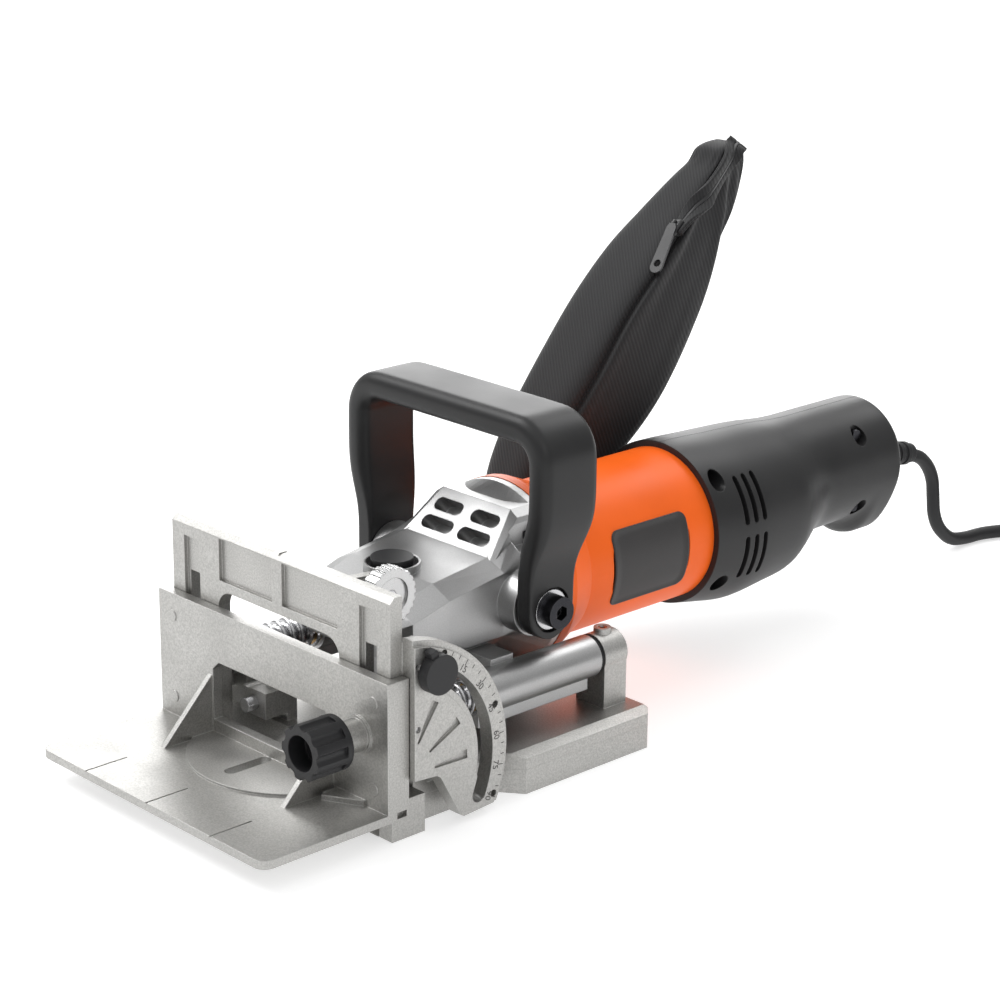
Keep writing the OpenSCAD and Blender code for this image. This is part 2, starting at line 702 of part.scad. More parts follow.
// Crown wheel: radial teeth on its upper face, with a gap over the pinion's centre plane at rest.
module crown_wheel() {
    face_z = motor_z - pin_r - 1.2;
    color(STEEL) translate([0, spindle_y, 0]) difference() {
        union() {
            translate([0, 0, face_z - 4]) cylinder(r = crown_r + 3, h = 4);
            translate([0, 0, 46]) cylinder(r = 5.6, h = 7);
            for (i = [0 : wheel_teeth - 1]) rotate((i + 0.5) * 360 / wheel_teeth)
                translate([crown_r - 2.5, 0, face_z - eps]) rotate([90, 0, 90]) linear_extrude(5)
                    polygon([[-0.7, 0], [0.7, 0], [0.33, 1.7], [-0.33, 1.7]]);
        }
        translate([0, 0, 40]) cylinder(r = 3.51, h = 20);
        // six holes for the spindle lock's pin
        for (i = [0 : 5]) rotate(i * 60) translate([0, -8.2, 40]) cylinder(r = 2.2, h = 30);
    }
}

pinion_y = spindle_y + crown_r - 3.2;
module pinion() {
    color(STEEL) translate([0, pinion_y, motor_z]) rotate([-90, 0, 0]) difference() {
        union() {
            cylinder(r = 3.9, h = 8.4);
            for (i = [0 : pinion_teeth - 1]) rotate(i * 360 / pinion_teeth) linear_extrude(6.4)
                polygon([[3.5, -0.8], [3.5, 0.8], [5.8, 0.33], [5.8, -0.33]]);
        }
        translate([0, 0, -1]) cylinder(r = 2.51, h = 20);
    }
}

module blade() {
    teeth = 6;
    plate_r = cutter_r - 4;
    color([0.7, 0.71, 0.73]) translate([0, spindle_y, blade_low_z]) difference() {
        union() {
            translate([0, 0, 0.7]) cylinder(r = plate_r, h = blade_t - 1.4);
            for (i = [0 : teeth - 1]) rotate(i * 360 / teeth) linear_extrude(blade_t)
                polygon([[plate_r - 7, 0], [cutter_r - 0.3, 0], [cutter_r - 0.9, 5], [plate_r - 7, 8]]);
        }
        translate([0, 0, -1]) cylinder(r = 8.02, h = 10);
        // chip gullets
        for (i = [0 : teeth - 1]) rotate(i * 360 / teeth) translate([plate_r - 3, -5, -1])
            cylinder(r = 4.6, h = 10);
    }
}

module blade_screw() {
    color(STEEL) translate([0, spindle_y, 0]) difference() {
        union() {
            translate([0, 0, 2.4]) cylinder(r = 12, h = 1.6);
            translate([0, 0, 3]) cylinder(r = 2.5, h = 12);
        }
        translate([0, 0, 2]) cylinder(r = 1.6, h = 1.2, $fn = 6);
    }
}

// ---------------------------------------------------------------- motor

front_brg_y = 22.2;
rear_brg_y = 184;
module armature() {
    slots = 12;
    color(STEEL) {
        y_cyl(0, motor_z, 2.5, pinion_y, 20);
        y_cyl(0, motor_z, 4, 16, 192);
        difference() {
            y_cyl(0, motor_z, 17, 72, 122);
            for (i = [0 : slots - 1]) translate([0, 0, motor_z]) rotate([0, i * 360 / slots, 0])
                box([-1, 70, 12], [1, 124, 20]);
        }
        y_cyl(0, motor_z, 13, 64, 130);
    }
}

module commutator() {
    segments = 16;
    color([0.72, 0.45, 0.25]) difference() {
        y_cyl(0, motor_z, 11, 142, 158);
        y_cyl(0, motor_z, 4, 140, 160);
        for (i = [0 : segments - 1]) translate([0, 0, motor_z]) rotate([0, i * 360 / segments, 0])
            box([-0.3, 141, 10], [0.3, 159, 12]);
    }
}

module fan() {
    blades = 11;
    color(DARK) difference() {
        union() {
            y_cyl(0, motor_z, 9, 42.5, 54);
            y_cyl(0, motor_z, 28, 42.5, 44.5);
            for (i = [0 : blades - 1]) translate([0, 0, motor_z]) rotate([0, i * 360 / blades, 0])
                box([-0.8, 44, 8], [0.8, 53, 27.5]);
        }
        y_cyl(0, motor_z, 4, 30, 60);
    }
}

module motor_bearings() {
    color(STEEL) for (b = [[front_brg_y, 13], [rear_brg_y, 11]]) difference() {
        y_cyl(0, motor_z, b[1], b[0], b[0] + 8);
        y_cyl(0, motor_z, 4.05, b[0] - 1, b[0] + 9);
        for (y = [b[0] - 1, b[0] + 7]) difference() {
            y_cyl(0, motor_z, b[1] - 2.4, y, y + 2);
            y_cyl(0, motor_z, 6.6, y - 1, y + 3);
        }
    }
}

module stator() {
    color([0.5, 0.3, 0.18]) difference() {
        y_cyl(0, motor_z, 29, 70, 124);
        y_cyl(0, motor_z, 18, 60, 130);
        for (side = [-1, 1]) box([side * 26 - 5, 60, motor_z - 12], [side * 26 + 5, 130, motor_z + 12]);
    }
}

module brush_holders() {
    color([0.72, 0.55, 0.25]) both_sides() difference() {
        box([11.4, 146, motor_z - 4.5], [27, 155, motor_z + 4.5]);
        box([12.5, 148, motor_z - 2.5], [28, 153, motor_z + 2.5]);
    }
}

module motor_housing() {
    wall = 3;
    color(ORANGE) difference() {
        union() {
            y_cyl(0, motor_z, housing_r, case_rear, seam_y);
            translate([0, case_rear, motor_z]) rotate([-90, 0, 0]) {
                cylinder(r = 39.4, h = 5);
                translate([0, 0, 5]) cylinder(r1 = 39.4, r2 = housing_r, h = 14);
            }
        }
        y_cyl(0, motor_z, housing_r - wall, case_rear - 1, seam_y + 1);
        both_sides() for (z = [motor_z - 24, motor_z + 24]) y_cyl(24, z, 1.72, 49, 60);
        box([housing_r - 1.2, 82, 44], [housing_r + 5, 128, 78]);
    }
    // spokes that hold the stator
    color(ORANGE) for (a = [45 : 90 : 315]) translate([0, 0, motor_z]) rotate([0, a, 0])
        box([29.05, 76, -3], [housing_r - 2, 118, 3]);
}

module case_screws() {
    color(STEEL) both_sides() for (z = [motor_z - 24, motor_z + 24]) y_cyl(24, z, 1.7, 40, 54);
}

module label_plate() {
    color([0.2, 0.2, 0.21]) intersection() {
        difference() {
            y_cyl(0, motor_z, housing_r + 0.3, 82.3, 127.7);
            y_cyl(0, motor_z, housing_r - 1, 80, 130);
        }
        box([housing_r - 1.15, 82.3, 44.3], [housing_r + 3, 127.7, 77.7]);
    }
}

// ---------------------------------------------------------------- rear handle

// Outline of the handle: [y, radius, centre height] of its round sections.
handle_sections = [[seam_y, 36.4, motor_z], [170, 38, 59.4], [206, 35.6, 60], [217, 31, 63.4],
    [230, barrel_r + 0.4, barrel_z - 0.4], [272, barrel_r, barrel_z], [tail_y, 26, barrel_z]];

handle_screw_spots = [[150, 86], [151, 40], [253, 84], [254, 50]];

module handle_solid(shrink) {
    for (i = [0 : len(handle_sections) - 2]) let (a = handle_sections[i], b = handle_sections[i + 1])
        hull() {
            y_cyl(0, a[2], a[1] - shrink, a[0], a[0] + 0.1, $fn = 48);
            y_cyl(0, b[2], b[1] - shrink, b[0] - 0.1, b[0], $fn = 48);
        }
}

module handle_shell(side) {
    wall = 3;
    color(DARK) intersection() {
        box([side > 0 ? 0 : -50, 0, 0], [side > 0 ? 50 : 0, 300, 130]);
        difference() {
            union() {
                handle_solid(0);
                // lobe under the tail
                hull() {
                    y_cyl(0, 57, 19.5, 257, 258, $fn = 48);
                    y_cyl(0, 52.4, 21.4, 264, 275, $fn = 48);
                    y_cyl(0, 53, 19, tail_y - 1, tail_y, $fn = 48);
                }
            }
            difference() {
                handle_solid(wall);
                // tail wall
                box([-40, tail_y - 4, 0], [40, 300, 130]);
                // bearing wall
                difference() {
                    box([-40, rear_brg_y + 1, 0], [40, rear_brg_y + 5, 130]);
                    y_cyl(0, motor_z, 11.02, 100, 240);
                }
            }
            y_cyl(0, motor_z, 11.02, rear_brg_y, rear_brg_y + 8.2);
            box([-6.3, 208.4, 20], [6.3, 242, 60]);
            y_cyl(0, cord_exit_z, 5.02, 270, 290);
            // cooling slots
            for (i = [0 : 2]) for (z = [51, 76]) both_sides()
                box([20, 159 + i * 5.6, z - 10], [40, 161.8 + i * 5.6, z + 10]);
            both_sides() for (spot = handle_screw_spots)
                x_cyl(spot[0], spot[1], 2.6, 10, 50);
        }
    }
}

module handle_shell_left() { handle_shell(-1); }
module handle_shell_right() { handle_shell(1); }

module handle_screws() {
    color(STEEL) for (spot = handle_screw_spots)
        x_cyl(spot[0], spot[1], 2.6, 12, 20);
}

module trigger() {
    color(DARK) difference() {
        yz_plate([[211, 45.6], [211, 35], [213, 33], [231, 33.2], [234.4, 38], [241, 41.6], [241, 47], [234, 47.5]],
            -5.8, 5.8);
        x_cyl(trigger_y, trigger_z, 1.55, -10, 10);
    }
}

module switch_module() {
    color([0.25, 0.25, 0.27]) {
        box([-8, 202, 50], [8, 242, 66]);
        both_sides() box([6.5, 233, 43.4], [8, 242, 51]);
        x_cyl(trigger_y, trigger_z, 1.5, -8, 8);
    }
}

module lock_button() {
    color(DARK) {
        translate([0, -10, 77.6]) cylinder(r = 8.6, h = 4.6);
        translate([0, -10, 77]) cylinder(r = 10.5, h = 1.2);
        translate([0, -19.2, 58.6]) cylinder(r = 1.8, h = 19);
    }
}

// ---------------------------------------------------------------- bail handle

module bail_handle() {
    thick = 12;
    corner = 18;
    foot_x = 44;
    foot_t = 8;
    knee_z = 86;
    hip_z = 106;
    // outer and inner lines of the strap, seen along Y
    outer = concat([[foot_x + foot_t, bail_z - 14], [foot_x + foot_t, knee_z - 4], [bail_half_w, hip_z]],
        arc(bail_half_w - corner, bail_top_z - corner, corner, 0, 90, 10));
    inner = concat(arc(bail_half_w - corner, bail_top_z - corner, corner - thick, 90, 0, 10),
        [[bail_half_w - thick, hip_z + 3], [foot_x, knee_z], [foot_x, bail_z - 14]]);
    half = concat(outer, inner);
    color(DARK) difference() {
        intersection() {
            union() {
                both_sides() xz_plate(half, strap_y - 20, strap_y + bail_strap / 2);
                box([corner - bail_half_w - eps, strap_y - 20, bail_top_z - thick],
                    [bail_half_w - corner + eps, strap_y + bail_strap / 2, bail_top_z]);
            }
            // side view: round lower ends, strap widening upwards
            yz_plate(concat([[strap_y + bail_strap / 2, bail_top_z + 1], [strap_y - bail_strap / 2,
                bail_top_z + 1], [strap_y - bail_strap / 2, 95]], arc(bail_y, bail_z, 12.2, 180, 360, 24),
                [[bail_y + 12.2, 80], [strap_y + bail_strap / 2, 100]]), -70, 70);
        }
        both_sides() {
            x_cyl(bail_y, bail_z, 4.1, 40, 60);
            x_cyl(bail_y, bail_z, 9.3, foot_x + foot_t - 2.5, 60);
        }
    }
}

module bail_bolts() {
    color(DARK) both_sides() difference() {
        union() {
            x_cyl(bail_y, bail_z, 4, 26, 52);
            x_cyl(bail_y, bail_z, 6.5, 51.4, 57.5);
        }
        x_cyl(bail_y, bail_z, 3.2, 54, 60, $fn = 6);
    }
}

module bail_washers() {
    color(STEEL) both_sides() difference() {
        x_cyl(bail_y, bail_z, 8.2, 49.8, 51.4);
        x_cyl(bail_y, bail_z, 4.05, 45, 55);
    }
}

// Spring of wire on each guide rod, drawn as stacked rings joined by a bar.
module return_springs() {
    wire = 0.8;
    coil_r = rod_r + 1.9;
    turns = 7;
    first = -44.8;
    last = sleeve_front - 0.2;
    color(STEEL) both_sides() for (i = [0 : turns]) let (y = first + wire + (last - first - 2 * wire) * i / turns)
        translate([rod_x, y, rod_z]) rotate([90, 0, 0]) rotate_extrude()
            translate([coil_r, 0]) circle(r = wire, $fn = 16);
    color(STEEL) both_sides() y_cyl(rod_x, rod_z + coil_r, 0.5, first + wire, last - wire);
}

// ---------------------------------------------------------------- mains cord

coil_mid_r = 36;
coil_at = [62, 430];
cord_route = [[0, 318, 57], [0, 326.5, 54], [0, 333.4, 48.1], [0, 337.9, 40.3], [0, 339.5, 31.4],
    [0, 341.2, 21.8], [0, 346.1, 13.4], [0, 355.7, 6], [0, 367.5, 3.5], [1.5, 379, 3.5], [6, 390, 3.5],
    [13, 400, 3.5], [20, 410, 3.5], [24.5, 420, 3.5]];

function spline_point(p, i, t) = let (n = len(p), a = p[max(i - 1, 0)], b = p[i], c = p[min(i + 1, n - 1)],
    d = p[min(i + 2, n - 1)]) 0.5 * (2 * b + (c - a) * t + (2 * a - 5 * b + 4 * c - d) * t * t
    + (3 * b - a - 3 * c + d) * t * t * t);
function cross3(a, b) = [a[1] * b[2] - a[2] * b[1], a[2] * b[0] - a[0] * b[2], a[0] * b[1] - a[1] * b[0]];
function unit(v) = v / norm(v);

module tube_along(points, r, sides) {
    n = len(points);
    tangents = [for (i = [0 : n - 1]) unit(points[min(i + 1, n - 1)] - points[max(i - 1, 0)])];
    side_dirs = [for (t = tangents) unit(cross3(t, [0.92, 0.1, 0.37]))];
    rings = [for (i = [0 : n - 1]) for (k = [0 : sides - 1]) let (u = side_dirs[i],
        v = cross3(tangents[i], u), a = 360 * k / sides) points[i] + r * (cos(a) * u + sin(a) * v)];
    caps = [[for (k = [0 : sides - 1]) k], [for (k = [0 : sides - 1]) (n - 1) * sides + sides - 1 - k]];
    walls = [for (i = [0 : n - 2]) for (k = [0 : sides - 1]) let (j = (k + 1) % sides)
        [i * sides + k, (i + 1) * sides + k, (i + 1) * sides + j, i * sides + j]];
    polyhedron(rings, concat(caps, walls));
}

module strain_relief() {
    color(DARK) {
        y_cyl(0, cord_exit_z, 5, tail_y - 6, tail_y);
        y_cyl(0, cord_exit_z, 8, tail_y, tail_y + 2);
        translate([0, tail_y + 1.5, cord_exit_z]) rotate([-100, 0, 0]) {
            cylinder(r1 = 6.6, r2 = 4.7, h = 39);
            for (i = [0 : 5]) translate([0, 0, 4 + i * 5.6]) cylinder(r = 6.9 - 0.25 * i, h = 2.6);
        }
    }
}

module cord() {
    steps = 2;
    last = len(cord_route) - 1;
    color(DARK) tube_along([for (i = [0 : last - 1]) for (s = [0 : steps - 1])
        spline_point(cord_route, i, s / steps), cord_route[last]], cord_r, 8);
}

module cord_coil() {
    color(DARK) translate([coil_at[0], coil_at[1], 0]) rotate_extrude()
        translate([coil_mid_r - 10, 0]) square([20, 20]);
}

module plug_body() {
    color(DARK) translate([coil_at[0], coil_at[1], 20.2]) {
        box([-20, -13, 0], [16, 13, 16]);
    }
}

module plug_pins() {
    color([0.8, 0.68, 0.4]) for (side = [-1, 1])
        translate([coil_at[0] + 16, coil_at[1] + side * 6.35, 28.2]) box([0, -0.8, -3.2], [17, 0.8, 3.2]);
}

base_cover();
base_casting();
cover_screws();
guide_rods();
rod_set_screws();
rod_bumpers();
angle_lock_stud();
dust_elbow();
bag_collar();
dust_bag();
grip_pin_left();
grip_pin_right();
tilt_plate();
angle_quadrant();
quadrant_screws();
hinge_pins();
height_wheel();
wheel_axle();
right_angle_fence();
height_rack();
star_knob();
knob_stud();
angle_lock_knob();
depth_turret();
turret_axle();
depth_stop_rod();
gear_case();
sleeve_bushes();
spindle_bearings();
spindle();
crown_wheel();
blade();
blade_screw();
armature();
pinion();
fan();
commutator();
motor_bearings();
stator();
brush_holders();
motor_housing();
case_screws();
label_plate();
handle_shell_left();
handle_shell_right();
handle_screws();
trigger();
switch_module();
lock_button();
bail_handle();
bail_bolts();
bail_washers();
return_springs();
strain_relief();
cord();
cord_coil();
plug_body();
plug_pins();
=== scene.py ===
"""Biscuit joiner: looks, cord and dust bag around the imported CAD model. Metres, +Z up, -Y forward."""
import json
import math

import bmesh
import bpy
from mathutils import Matrix, Vector


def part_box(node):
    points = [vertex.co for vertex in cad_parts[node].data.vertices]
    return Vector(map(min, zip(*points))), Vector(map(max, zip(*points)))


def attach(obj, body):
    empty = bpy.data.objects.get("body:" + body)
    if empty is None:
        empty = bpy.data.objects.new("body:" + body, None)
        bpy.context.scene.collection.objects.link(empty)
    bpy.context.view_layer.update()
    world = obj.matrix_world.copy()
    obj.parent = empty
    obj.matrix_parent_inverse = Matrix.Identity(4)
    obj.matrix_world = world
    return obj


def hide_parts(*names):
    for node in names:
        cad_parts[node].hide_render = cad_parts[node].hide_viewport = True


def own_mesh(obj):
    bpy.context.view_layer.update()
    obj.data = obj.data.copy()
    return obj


MM = 0.001
X = Vector((1, 0, 0))
Y = Vector((0, 1, 0))
MOTOR_AXIS_Z = 62.2 * MM
HOUSING_R = 33.6 * MM
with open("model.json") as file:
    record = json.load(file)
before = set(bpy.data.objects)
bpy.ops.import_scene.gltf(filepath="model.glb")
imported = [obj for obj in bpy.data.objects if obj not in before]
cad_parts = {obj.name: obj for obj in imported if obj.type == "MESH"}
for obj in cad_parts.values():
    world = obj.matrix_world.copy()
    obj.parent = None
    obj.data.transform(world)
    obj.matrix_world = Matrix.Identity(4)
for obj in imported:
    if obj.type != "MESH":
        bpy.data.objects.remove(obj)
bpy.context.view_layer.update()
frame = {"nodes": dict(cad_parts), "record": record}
nodes = frame["nodes"]


# ---------------------------------------------------------------- camera

def add_camera():
    """A long lens, in front of the right side and above the tool."""
    right = Vector((0.68477, 0.72870, 0.00915))
    up = Vector((-0.23299, 0.20701, 0.95019))
    back = right.cross(up)
    data = bpy.data.cameras.new("camera")
    data.sensor_width = 36
    data.lens = 95.42
    data.clip_start = 0.01
    camera = bpy.data.objects.new("camera", data)
    turn = Matrix((right, up, back)).transposed().to_4x4()
    camera.matrix_world = Matrix.Translation(Vector((0.74929, -0.65975, 0.43077))) @ turn
    bpy.context.collection.objects.link(camera)
    bpy.context.scene.camera = camera


add_camera()


# ---------------------------------------------------------------- mesh helpers

def new_object(name, bm, body, material):
    mesh = bpy.data.meshes.new(name)
    bmesh.ops.recalc_face_normals(bm, faces=bm.faces)
    bm.to_mesh(mesh)
    bm.free()
    for polygon in mesh.polygons:
        polygon.use_smooth = True
    return place(bpy.data.objects.new(name, mesh), body, material)


def place(obj, body, material):
    bpy.context.collection.objects.link(obj)
    obj.data.materials.append(material)
    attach(obj, body)
    return obj


def loft(bm, rings, close_start=True):
    """Joins rings of equal length into a tube with closed ends."""
    made = [[bm.verts.new(point) for point in ring] for ring in rings]
    count = len(made[0])
    for low, high in zip(made, made[1:]):
        for k in range(count):
            bm.faces.new((low[k], low[(k + 1) % count], high[(k + 1) % count], high[k]))
    if close_start:
        bm.faces.new(list(reversed(made[0])))
    bm.faces.new(made[-1])


def rounded_box(bm, size, at, bevel, turn=Matrix.Identity(4)):
    part = bmesh.new()
    bmesh.ops.create_cube(part, size=1)
    bmesh.ops.scale(part, vec=size, verts=part.verts)
    bmesh.ops.bevel(part, geom=part.edges[:], offset=bevel, segments=3, profile=0.5, affect="EDGES")
    bmesh.ops.transform(part, matrix=Matrix.Translation(at) @ turn, verts=part.verts)
    mesh = bpy.data.meshes.new("part")
    part.to_mesh(mesh)
    part.free()
    bm.from_mesh(mesh)
    bpy.data.meshes.remove(mesh)


def catmull_rom(a, b, c, d, t):
    """The point at share t of the way from b to c on a smooth curve through all four."""
    return 0.5 * (2 * b + (c - a) * t + (2 * a - 5 * b + 4 * c - d) * t * t
                  + (3 * b - a - 3 * c + d) * t ** 3)


def smooth_curve(points, steps):
    """Points of a smooth curve through the given points."""
    last = len(points) - 1
    out = []
    for i in range(last):
        near = points[max(i - 1, 0)], points[i], points[i + 1], points[min(i + 2, last)]
        out += [catmull_rom(*near, s / steps) for s in range(steps)]
    return out + [points[-1]]


def tangent_at(line, i):
    """Direction of a line of points at its point i."""
    return (line[min(i + 1, len(line) - 1)] - line[max(i - 1, 0)]).normalized()


def clamped(share):
    """share kept between 0 and 1."""
    return min(max(share, 0), 1)


def eased(share):
    """share from 0 to 1, with a soft start and end."""
    share = clamped(share)
    return share * share * (3 - 2 * share)


def full_turn(count):
    """Angles of points spread evenly around a circle."""
    return [2 * math.pi * k / count for k in range(count)]


def rounded_ring(centre, across, along, half_across, half_along, corner, steps=6):
    """A rounded rectangle of points around centre."""
    points = []
    corner = min(corner, half_across, half_along) * 0.999
    for quarter, (sx, sy) in enumerate(((1, 1), (-1, 1), (-1, -1), (1, -1))):
        for i in range(steps + 1):
            angle = math.radians(90 * quarter + 90 * i / steps)
            u = sx * (half_across - corner) + corner * math.cos(angle)
            v = sy * (half_along - corner) + corner * math.sin(angle)
            points.append(centre + across * u + along * v)
    return points


def x_drum(bm, y, z, radius, x0, x1, segments=32):
    """A cylinder along X, in millimetres."""
    ring = [(y + radius * math.cos(a), z + radius * math.sin(a)) for a in full_turn(segments)]
    loft(bm, [[Vector((x, a, b)) * MM for a, b in ring] for x in (x0, x1)])


CREASE = math.radians(38)                 # edges sharper than this stay sharp


def raw_object(bm):
    """A plain object for a modifier to work on."""
    bmesh.ops.recalc_face_normals(bm, faces=bm.faces)
    mesh = bpy.data.meshes.new("raw")
    bm.to_mesh(mesh)
    bm.free()
    obj = bpy.data.objects.new("raw", mesh)
    bpy.context.collection.objects.link(obj)
    return obj


def carved(name, bm, cutter, body, material, levels=0):
    """An object made of bm with cutter's shape taken out of it."""
    whole, tool = raw_object(bm), raw_object(cutter)
    if levels:
        soften = whole.modifiers.new("subdivide", "SUBSURF")
        soften.levels = levels
    subtract = whole.modifiers.new("subtract", "BOOLEAN")
    subtract.operation = "DIFFERENCE"
    subtract.solver = "EXACT"
    subtract.object = tool
    evaluated = whole.evaluated_get(bpy.context.evaluated_depsgraph_get())
    mesh = bpy.data.meshes.new_from_object(evaluated)
    for obj in (whole, tool):
        bpy.data.objects.remove(obj)
    mesh.name = name
    mesh.materials.clear()
    for polygon in mesh.polygons:
        polygon.use_smooth = True
    mesh.set_sharp_from_angle(angle=CREASE)
    return place(bpy.data.objects.new(name, mesh), body, material)


# ---------------------------------------------------------------- materials

class Shader:
    """A small helper that builds one node material around a Principled shader."""

    def __init__(self, name):
        self.material = bpy.data.materials.new(name)
        self.material.use_nodes = True
        self.tree = self.material.node_tree
        self.main = next(n for n in self.tree.nodes if n.type == "BSDF_PRINCIPLED")
        self.place = self.add("ShaderNodeTexCoord").outputs["Object"]

    def add(self, kind, **values):
        node = self.tree.nodes.new(kind)
        for key, value in values.items():
            setattr(node, key, value)
        return node

    def link(self, source, target):
        self.tree.links.new(source, target)

    def scaled(self, scale, turn=(0, 0, 0)):
        node = self.add("ShaderNodeMapping")
        node.inputs["Scale"].default_value = scale
        node.inputs["Rotation"].default_value = turn
        self.link(self.place, node.inputs["Vector"])
        return node.outputs["Vector"]

    def noise(self, scale, detail=4.0, source=None):
        node = self.add("ShaderNodeTexNoise")
        node.inputs["Scale"].default_value = scale
        node.inputs["Detail"].default_value = detail
        self.link(source or self.place, node.inputs["Vector"])
        return node.outputs["Fac"]

    def span(self, source, low, high, start=0.3, end=0.7):
        node = self.add("ShaderNodeMapRange")
        node.inputs["From Min"].default_value = start
        node.inputs["From Max"].default_value = end
        node.inputs["To Min"].default_value = low
        node.inputs["To Max"].default_value = high
        self.link(source, node.inputs["Value"])
        return node.outputs["Result"]

    def mix(self, factor, first, second):
        node = self.add("ShaderNodeMix", data_type="RGBA")
        self.link(factor, node.inputs[0])
        for socket, value in ((node.inputs[6], first), (node.inputs[7], second)):
            if hasattr(value, "links"):
                self.link(value, socket)
            else:
                socket.default_value = (*value, 1)
        return node.outputs[2]

    def bump(self, source, strength, depth, before=None):
        node = self.add("ShaderNodeBump")
        node.inputs["Strength"].default_value = strength
        node.inputs["Distance"].default_value = depth
        self.link(source, node.inputs["Height"])
        if before:
            self.link(before, node.inputs["Normal"])
        return node.outputs["Normal"]

    def edges(self, radius):
        """Rounded normals, and a mask that is 1 along convex or concave edges, where a painted highlight
        goes.
        """
        rounded = self.add("ShaderNodeBevel", samples=4)
        rounded.inputs["Radius"].default_value = radius
        plain = self.add("ShaderNodeNewGeometry")
        dot = self.add("ShaderNodeVectorMath", operation="DOT_PRODUCT")
        self.link(rounded.outputs["Normal"], dot.inputs[0])
        self.link(plain.outputs["Normal"], dot.inputs[1])
        return rounded.outputs["Normal"], self.span(dot.outputs["Value"], 1, 0, 0.86, 0.998)


METAL_MARKS = 38                          # scale of the soft patches in metal
PLASTIC_MARKS = 24
PLASTIC_GRAIN = 1800


def metal(name, color, rough, grain=2600, depth=0.00004, spread=0.12):
    s = Shader(name)
    fine = s.noise(grain, 3)
    patches = s.noise(METAL_MARKS, 5)
    normal, mask = s.edges(0.0005)
    dark = tuple(c * (1 - spread) for c in color)
    light = tuple(min(1, c * (1 + spread)) for c in color)
    mottled = s.mix(s.span(fine, 0, 1, 0.35, 0.65), dark, light)
    worn = s.mix(s.span(patches, 0, 0.35), mottled, color)
    # painted highlight: the colour is made lighter along every edge
    edge_highlighted = s.mix(mask, worn, tuple(min(1, c * 1.12 + 0.04) for c in color))
    s.link(edge_highlighted, s.main.inputs["Base Color"])
    s.link(s.span(patches, rough - 0.05, rough + 0.06), s.main.inputs["Roughness"])
    s.link(s.bump(fine, 0.25, depth, normal), s.main.inputs["Normal"])
    s.main.inputs["Metallic"].default_value = 1
    return s.material


def plastic(name, color, rough, depth=0.00003, edge=0.0006, spread=0.12, gloss=0.5):
    s = Shader(name)
    fine = s.noise(PLASTIC_GRAIN, 2)
    patches = s.noise(PLASTIC_MARKS, 4)
    normal, mask = s.edges(edge)
    lighter = tuple(min(1, c * (1 + spread) + 0.004) for c in color)
    base = s.mix(s.span(patches, 0, 1), color, lighter)
    # painted highlight: the colour is made lighter along every edge
    s.link(s.mix(mask, base, tuple(min(1, c * 1.25 + 0.01) for c in color)), s.main.inputs["Base Color"])
    s.link(s.span(patches, rough - 0.04, rough + 0.05), s.main.inputs["Roughness"])
    s.link(s.bump(fine, 0.3, depth, normal), s.main.inputs["Normal"])
    s.main.inputs["Specular IOR Level"].default_value = gloss
    return s.material


def twill(name, color):
    """Fine diagonal ribs, with short threads across them."""
    s = Shader(name)
    ribs = s.add("ShaderNodeTexWave", wave_type="BANDS", bands_direction="DIAGONAL")
    ribs.inputs["Scale"].default_value = 330
    ribs.inputs["Distortion"].default_value = 0.4
    s.link(s.scaled((1, 0.9, 0.35)), ribs.inputs["Vector"])
    threads = s.noise(4200, 2, s.scaled((1, 1, 0.4), (0.6, 0, 0)))
    rib = s.span(ribs.outputs["Fac"], 0, 1, 0.15, 0.85)
    base = s.mix(rib, tuple(c * 0.6 for c in color), tuple(c * 1.5 for c in color))
    s.link(s.mix(s.span(threads, 0, 0.5), base, color), s.main.inputs["Base Color"])
    s.main.inputs["Roughness"].default_value = 0.72
    s.main.inputs["Specular IOR Level"].default_value = 0.4
    s.main.inputs["Sheen Weight"].default_value = 0.12
    normal = s.bump(threads, 0.2, 0.0001)
    s.link(s.bump(rib, 0.5, 0.0002, normal), s.main.inputs["Normal"])
    return s.material


cast = metal("cast_aluminium", (0.44, 0.435, 0.42), 0.44, grain=1500, depth=0.00008, spread=0.16)
machined = metal("machined_aluminium", (0.52, 0.52, 0.52), 0.28, grain=3200, depth=0.00002, spread=0.05)
satin = metal("gear_case_metal", (0.42, 0.42, 0.42), 0.40, grain=2200, depth=0.00004, spread=0.07)
steel = metal("bright_steel", (0.50, 0.50, 0.51), 0.22, grain=4000, depth=0.00001, spread=0.05)
blade_metal = metal("blade_steel", (0.50, 0.51, 0.53), 0.30, spread=0.06)
bronze = metal("bronze", (0.50, 0.33, 0.15), 0.35)
copper = metal("copper", (0.58, 0.28, 0.15), 0.35)
iron = metal("laminations", (0.22, 0.22, 0.23), 0.45)
black_steel = metal("blackened_steel", (0.035, 0.035, 0.04), 0.36, spread=0.2)
orange = plastic("orange_plastic", (0.86, 0.125, 0.008), 0.40, depth=0.00001, gloss=0.22)
black = plastic("black_plastic", (0.010, 0.010, 0.011), 0.42, spread=0.3, gloss=0.35)
handle_black = plastic("handle_black", (0.012, 0.012, 0.0125), 0.42, depth=0.00004, spread=0.25, gloss=0.34)
grey = plastic("grey_plastic", (0.042, 0.040, 0.040), 0.42, spread=0.1, gloss=0.25)
rubber = plastic("rubber_black", (0.010, 0.010, 0.011), 0.55, spread=0.3, gloss=0.35)
cloth = twill("bag_cloth", (0.010, 0.010, 0.011))
zip_black = plastic("zip_nylon", (0.012, 0.012, 0.013), 0.38, spread=0.3, edge=0.0002)
engraved = plastic("engraved_marks", (0.05, 0.048, 0.045), 0.6)

